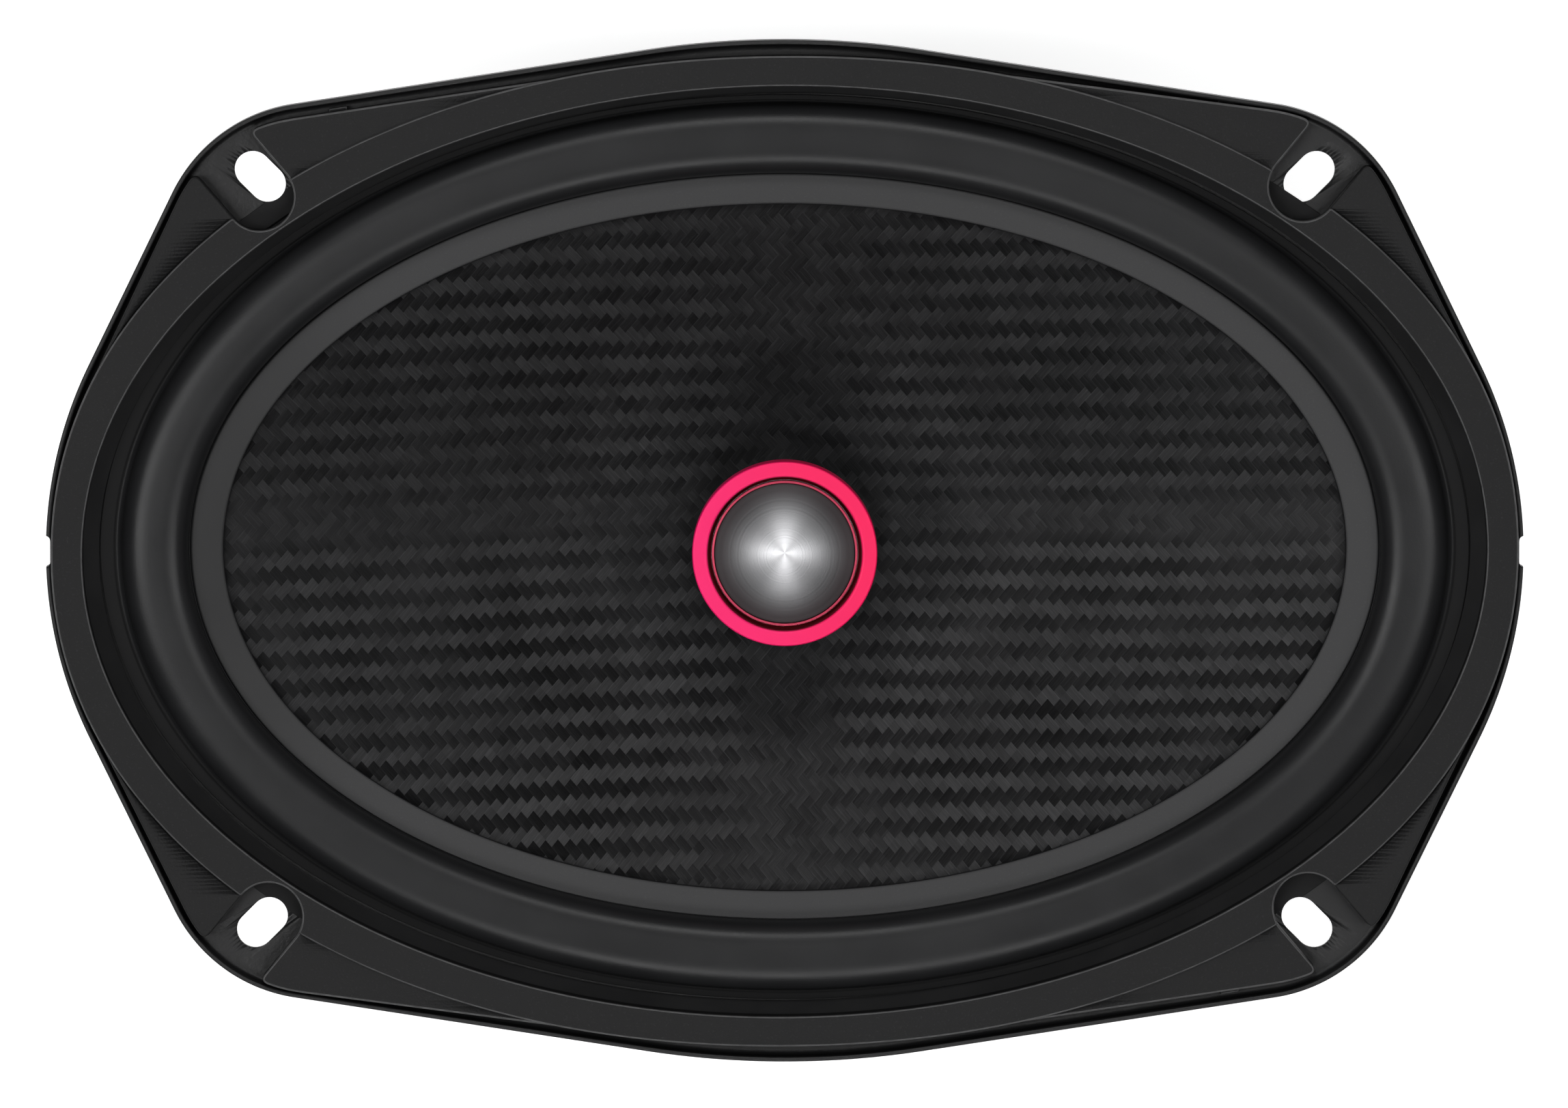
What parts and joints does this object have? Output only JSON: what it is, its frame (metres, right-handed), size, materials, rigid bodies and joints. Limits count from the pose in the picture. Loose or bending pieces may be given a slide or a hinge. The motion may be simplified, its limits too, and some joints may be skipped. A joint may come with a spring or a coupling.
{
  "type": "coaxial car speaker",
  "caption": "Oval car loudspeaker with a woven cone, rubber surround, pressed basket, ring magnet and a metal-dome tweeter on a centre post.",
  "frame": {"origin": "centre of the motor's rear face, on the speaker's axis: the speaker stands on its magnet", "axes": "+Z out of the front of the speaker along the cone's travel; X is the long axis of the oval; the terminals face -Y"},
  "size_m": [0.2348, 0.1628, 0.0882],
  "materials": {
    "black_steel": "blackened steel yoke with a turned, lightly oiled face",
    "ferrite": "ground, slightly rough sintered ferrite",
    "zinc_steel": "zinc-plated steel, satin",
    "basket_paint": "semi-matte black powder coat on pressed steel",
    "rivet_steel": "bright plated steel rivets and nut",
    "gasket_plastic": "spark-textured black moulding",
    "surround_rubber": "satin black butyl rubber",
    "woven_cone": "black 2/2 twill weave in clear resin, satin sheen",
    "former_film": "amber polyimide film",
    "copper": "enamelled copper wire",
    "spider_cloth": "corrugated resin-dipped cloth",
    "post_plastic": "black glass-filled plastic",
    "red_anodised": "bright pink-red anodised aluminium",
    "tweeter_steel": "plated steel",
    "neodymium": "nickel-plated magnet",
    "dome_metal": "satin turned aluminium",
    "suspension_rubber": "thin black rubber",
    "phenolic": "brown phenolic paper board",
    "gold_plate": "gold-flashed brass blade",
    "tin_plate": "tinned blade",
    "capacitor_sleeve": "dark blue heat-shrunk sleeve, no print",
    "lead_wire": "tinned copper lead",
    "lead_red": "red PVC insulation",
    "lead_black": "black PVC insulation",
    "tinsel": "braided copper tinsel"
  },
  "bodies": {
    "chassis": {"yoke": "black_steel", "magnet_ring": "ferrite", "front_plate": "zinc_steel", "basket": "basket_paint", "basket_rivet_1": "rivet_steel", "basket_rivet_2": "rivet_steel", "basket_rivet_3": "rivet_steel", "basket_rivet_4": "rivet_steel", "trim_gasket": "gasket_plastic", "surround": "surround_rubber", "spider": "spider_cloth", "tweeter_post": "post_plastic", "tweeter_post_nut": "rivet_steel", "tweeter_post_washer": "rivet_steel", "tweeter_housing": "post_plastic", "tweeter_yoke": "tweeter_steel", "tweeter_magnet": "neodymium", "tweeter_pole_plate": "tweeter_steel", "tweeter_suspension": "suspension_rubber", "tweeter_bezel": "red_anodised", "terminal_board": "phenolic", "terminal_positive": "gold_plate", "terminal_negative": "tin_plate", "terminal_eyelet_positive": "rivet_steel", "terminal_eyelet_negative": "rivet_steel", "board_rivet_1": "rivet_steel", "board_rivet_2": "rivet_steel", "crossover_capacitor": "capacitor_sleeve", "capacitor_lead_1": "lead_wire", "capacitor_lead_2": "lead_wire", "tweeter_lead_positive": "lead_red", "tweeter_lead_negative": "lead_black", "tinsel_lead_positive": "tinsel", "tinsel_lead_negative": "tinsel"},
    "cone_assembly": {"cone": "woven_cone", "voice_coil_former": "former_film", "voice_coil_winding": "copper"},
    "tweeter_diaphragm": {"tweeter_dome": "dome_metal", "tweeter_dome_ring": "red_anodised", "tweeter_voice_coil": "copper"}
  },
  "joints": [
    {"name": "cone_travel", "type": "slide", "parent": "chassis", "child": "cone_assembly", "axis": [0, 0, 1], "range_m": [-0.005, 0.005], "stiffness_N_per_m": 3000, "deforming": ["surround", "spider", "tinsel_lead_positive", "tinsel_lead_negative"]},
    {"name": "tweeter_dome_travel", "type": "slide", "parent": "chassis", "child": "tweeter_diaphragm", "axis": [0, 0, 1], "range_m": [-0.0003, 0.0003], "stiffness_N_per_m": 1500, "deforming": ["tweeter_suspension"]}
  ]
}
